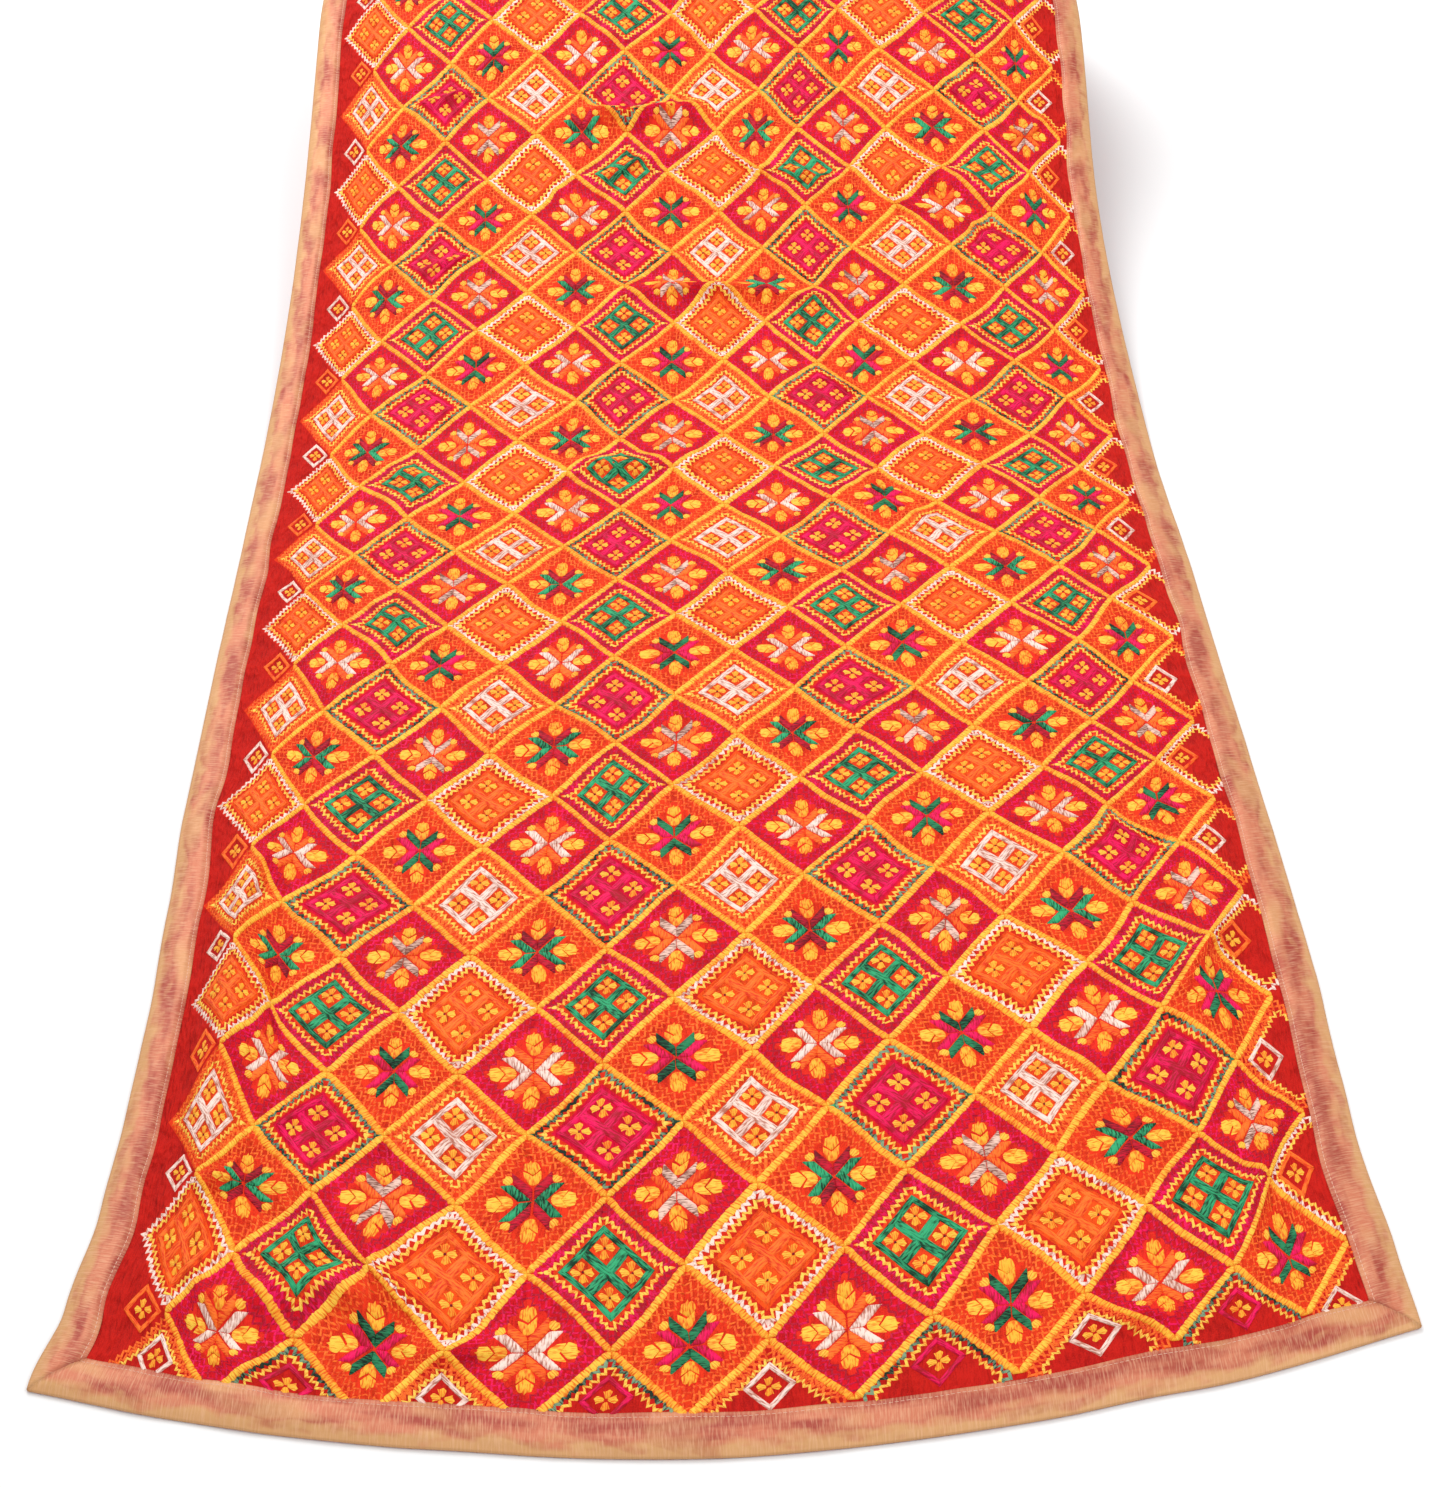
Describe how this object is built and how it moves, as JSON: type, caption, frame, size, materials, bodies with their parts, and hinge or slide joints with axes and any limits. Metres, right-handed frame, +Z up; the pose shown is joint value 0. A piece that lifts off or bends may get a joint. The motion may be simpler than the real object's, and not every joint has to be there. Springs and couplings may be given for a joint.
{
  "type": "phulkari shawl",
  "caption": "Long rectangular embroidered shawl laid out, its far part rising in a low sweep and coming down again, with a ribbon sewn round the edge.",
  "frame": {"origin": "bottom centre of the whole laid shawl, on the surface that it rests on", "axes": "+Y along the shawl away from the near hem, +X across it to the right, +Z up"},
  "size_m": [0.973, 2.4086, 0.2072],
  "materials": {
    "ground_cloth": "crinkled red georgette covered with satin-stitch floss",
    "border_ribbon": "shot tissue ribbon, copper pink and pale gold, finely ribbed"
  },
  "bodies": {
    "root": {"ground_cloth": "ground_cloth", "border_near": "border_ribbon", "border_far": "border_ribbon", "border_left": "border_ribbon", "border_right": "border_ribbon"}
  },
  "joints": []
}
